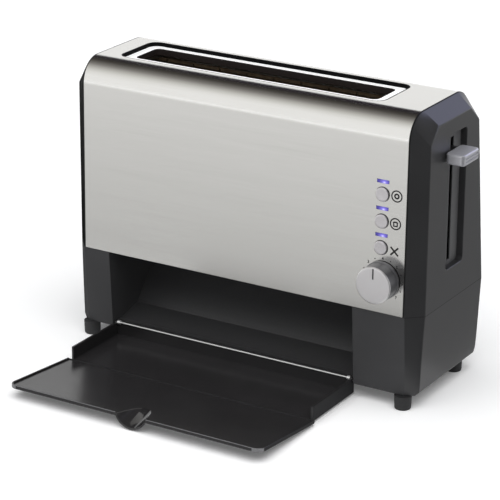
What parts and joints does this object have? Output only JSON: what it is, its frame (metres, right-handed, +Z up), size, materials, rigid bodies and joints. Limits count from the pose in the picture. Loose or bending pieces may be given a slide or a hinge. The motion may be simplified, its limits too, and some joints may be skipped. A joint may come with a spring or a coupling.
{
  "type": "slide-through toaster",
  "caption": "Long-slot toaster with a steel wrap, black ends, side lever, push buttons and shade knob; toast slides out below onto a fold-down tray.",
  "frame": {"origin": "on the table, in the middle of the rectangle of the four feet, which is also the middle of the steel wrap's length", "axes": "+X to the end with the controls and lever, -Y to the front where the tray opens, +Z up"},
  "size_m": [0.392, 0.3008, 0.277],
  "materials": {
    "brushed_steel": "stainless sheet brushed along its length",
    "bright_steel": "polished stainless sheet",
    "black_plastic": "satin black moulding",
    "tray_plastic": "gloss black moulding",
    "black_coating": "black non-stick coating on sheet",
    "rubber": "matt black rubber",
    "zinc_steel": "zinc-plated steel",
    "sheet_steel": "galvanised sheet",
    "mica": "pressed mica sheet",
    "heater_alloy": "oxidised resistance alloy",
    "guard_wire": "nickel-plated wire",
    "copper": "enamelled copper winding",
    "board": "solder mask on laminate",
    "component": "moulded component bodies",
    "blue_lens": "clear blue moulding",
    "silver_plastic": "silver lacquer on a moulding",
    "knob_metal": "spun aluminium cap",
    "pointer": "black inlay"
  },
  "bodies": {
    "root": {"steel_wrap": "brushed_steel", "slot_frame": "bright_steel", "left_end_housing": "black_plastic", "right_end_housing": "black_plastic", "base_pan": "black_plastic", "slot_surround": "black_plastic", "button_guide_frame": "black_plastic", "slide_ramp": "black_coating", "rubber_feet": "rubber", "cord_bushing": "rubber", "pan_screws": "zinc_steel", "chassis_tie_bars": "zinc_steel", "carriage_guide_rod": "zinc_steel", "carriage_spring": "zinc_steel", "latch_core": "zinc_steel", "left_chassis_plate": "sheet_steel", "right_chassis_plate": "sheet_steel", "front_reflector": "sheet_steel", "rear_reflector": "sheet_steel", "front_heater_card": "mica", "rear_heater_card": "mica", "front_heater_ribbon": "heater_alloy", "rear_heater_ribbon": "heater_alloy", "front_bread_guard": "guard_wire", "rear_bread_guard": "guard_wire", "latch_coil": "copper", "control_board": "board", "push_switches": "component", "relay": "component", "transformer": "component", "terminal_block": "component", "shade_potentiometer": "component", "thermal_cutout": "component", "indicator_diodes": "component", "upper_lens": "blue_lens", "middle_lens": "blue_lens", "lower_lens": "blue_lens"},
    "tray": {"serving_tray": "tray_plastic", "left_tray_pin": "zinc_steel", "right_tray_pin": "zinc_steel"},
    "lever": {"lever_knob": "silver_plastic", "lever_carriage": "black_plastic", "latch_armature": "zinc_steel"},
    "gate": {"bread_gate": "sheet_steel", "gate_crank": "zinc_steel"},
    "button_upper": {"upper_button": "silver_plastic"},
    "button_middle": {"middle_button": "silver_plastic"},
    "button_lower": {"lower_button": "silver_plastic"},
    "knob": {"shade_knob": "knob_metal", "knob_pointer": "pointer", "knob_shaft": "zinc_steel"}
  },
  "joints": [
    {"name": "tray_hinge", "type": "hinge", "parent": "root", "child": "tray", "pos_m": [-0.01225, -0.051, 0.0154], "axis": [-1, 0, 0], "range_deg": [0, 87.5]},
    {"name": "lever_slide", "type": "slide", "parent": "root", "child": "lever", "axis": [0, 0, -1], "range_m": [0, 0.085], "stiffness_N_per_m": 60, "springref_m": -0.03, "deforming": ["carriage_spring"]},
    {"name": "gate_turn", "type": "hinge", "parent": "root", "child": "gate", "pos_m": [0, 0.0275, 0.104], "axis": [-1, 0, 0], "range_deg": [0, 75]},
    {"name": "upper_button_press", "type": "slide", "parent": "root", "child": "button_upper", "axis": [0, 1, 0], "range_m": [0, 0.0016], "stiffness_N_per_m": 800, "springref_m": -0.0008},
    {"name": "middle_button_press", "type": "slide", "parent": "root", "child": "button_middle", "axis": [0, 1, 0], "range_m": [0, 0.0016], "stiffness_N_per_m": 800, "springref_m": -0.0008},
    {"name": "lower_button_press", "type": "slide", "parent": "root", "child": "button_lower", "axis": [0, 1, 0], "range_m": [0, 0.0016], "stiffness_N_per_m": 800, "springref_m": -0.0008},
    {"name": "knob_turn", "type": "hinge", "parent": "root", "child": "knob", "pos_m": [0.1497, -0.066, 0.1227], "axis": [0, -1, 0], "range_deg": [-135, 135]}
  ],
  "couplings": [
    {"joint": "gate_turn", "follows": "lever_slide", "rad_per_m": 15.39}
  ]
}
